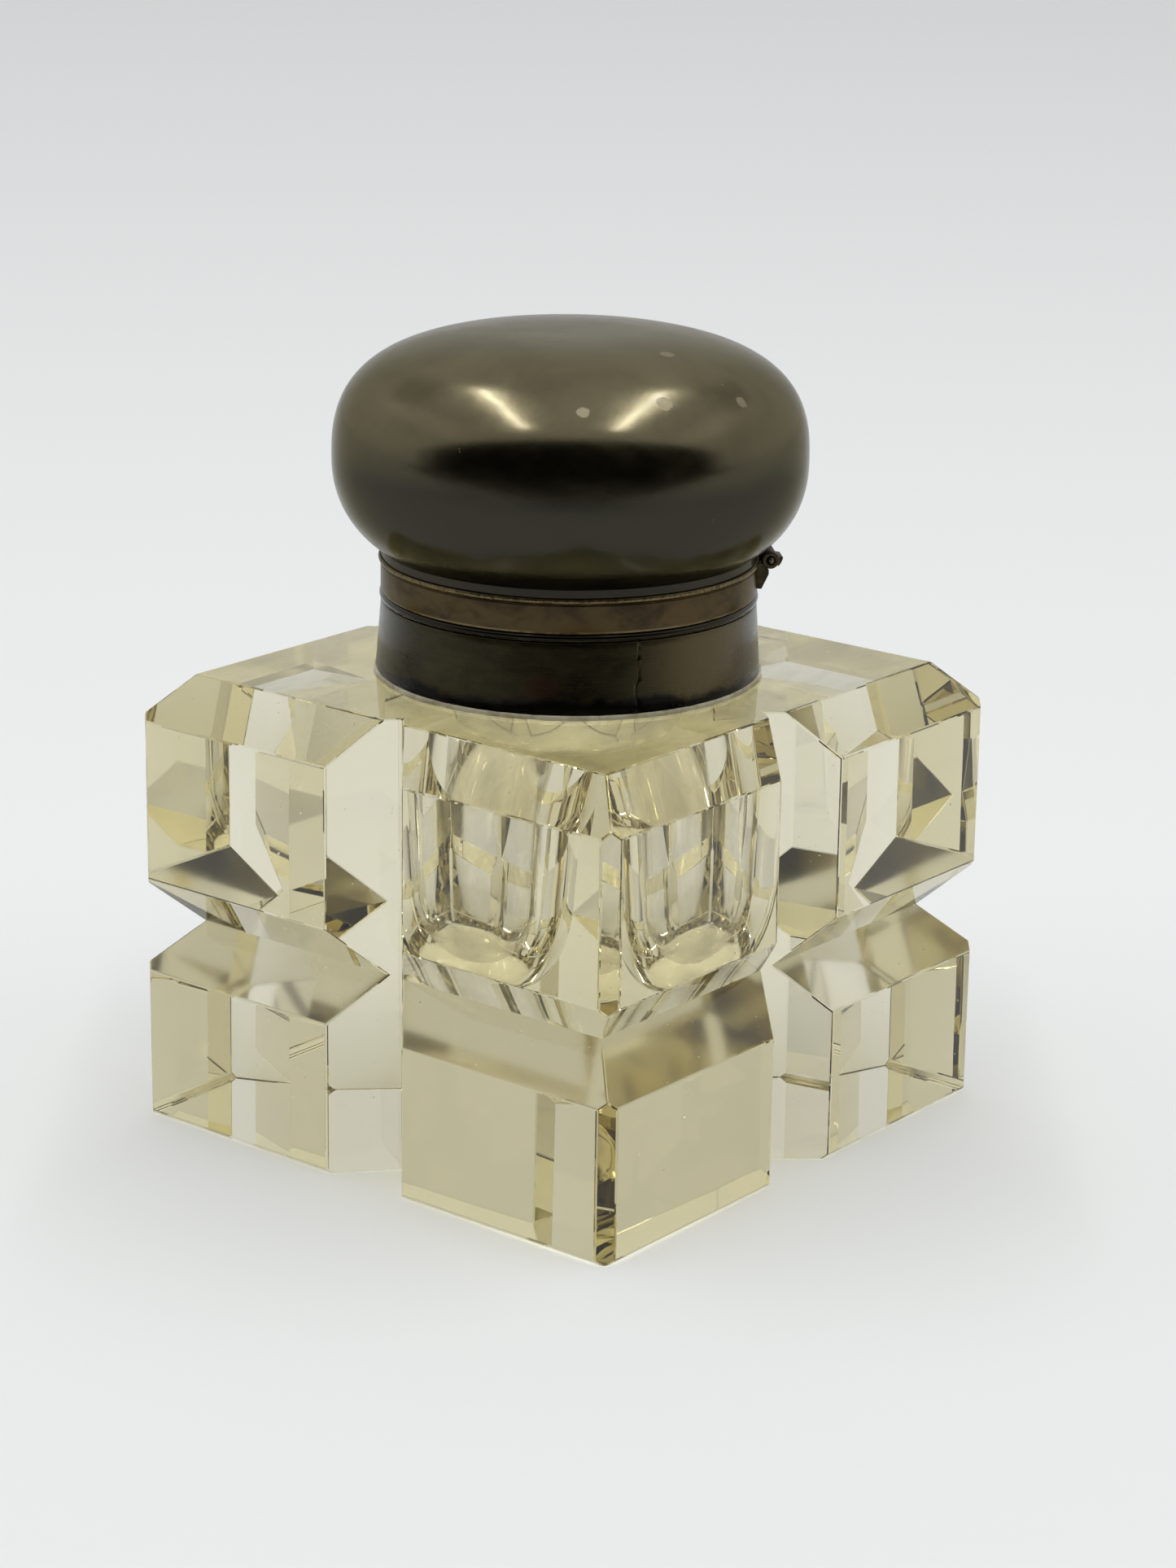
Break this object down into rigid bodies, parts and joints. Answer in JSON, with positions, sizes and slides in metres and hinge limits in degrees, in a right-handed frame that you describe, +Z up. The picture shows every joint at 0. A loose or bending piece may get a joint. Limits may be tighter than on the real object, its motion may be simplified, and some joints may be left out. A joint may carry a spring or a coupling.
{
  "type": "inkwell",
  "caption": "Cube-cut glass desk inkwell with a round ink well, a cemented brass collar and a hinged flattened-ball brass lid.",
  "frame": {"origin": "middle of the block's base, on the surface it stands on", "axes": "+Z up through the well and the lid; +X and +Y square to two sides of the block, with the hinge on the corner between them"},
  "size_m": [0.07, 0.0708, 0.093],
  "materials": {
    "glass": "polished cut glass, pale straw tint",
    "cement": "dry plaster cement",
    "collar_brass": "dark streaky patina, satin",
    "lid_brass": "bronze-brown patina, worn satin polish",
    "inner_brass": "dull aged brass",
    "hinge_brass": "dark matt patina",
    "pin_steel": "dull wire"
  },
  "bodies": {
    "base": {"glass_block": "glass", "cement_bed": "cement", "collar_band": "collar_brass", "collar_mouth_ring": "collar_brass", "collar_hinge_leaf": "hinge_brass", "collar_knuckle": "hinge_brass", "hinge_pin": "pin_steel"},
    "lid": {"lid_dome": "lid_brass", "lid_rim_band": "lid_brass", "lid_closing_plate": "inner_brass", "lid_locating_ring": "inner_brass", "lid_hinge_bearer_front": "hinge_brass", "lid_hinge_bearer_back": "hinge_brass", "lid_knuckle_front": "hinge_brass", "lid_knuckle_back": "hinge_brass"}
  },
  "joints": [
    {"name": "lid_hinge", "type": "hinge", "parent": "base", "child": "lid", "pos_m": [0.01609, 0.01609, 0.067], "axis": [-0.7071, 0.7071, 0], "range_deg": [0, 110]}
  ]
}
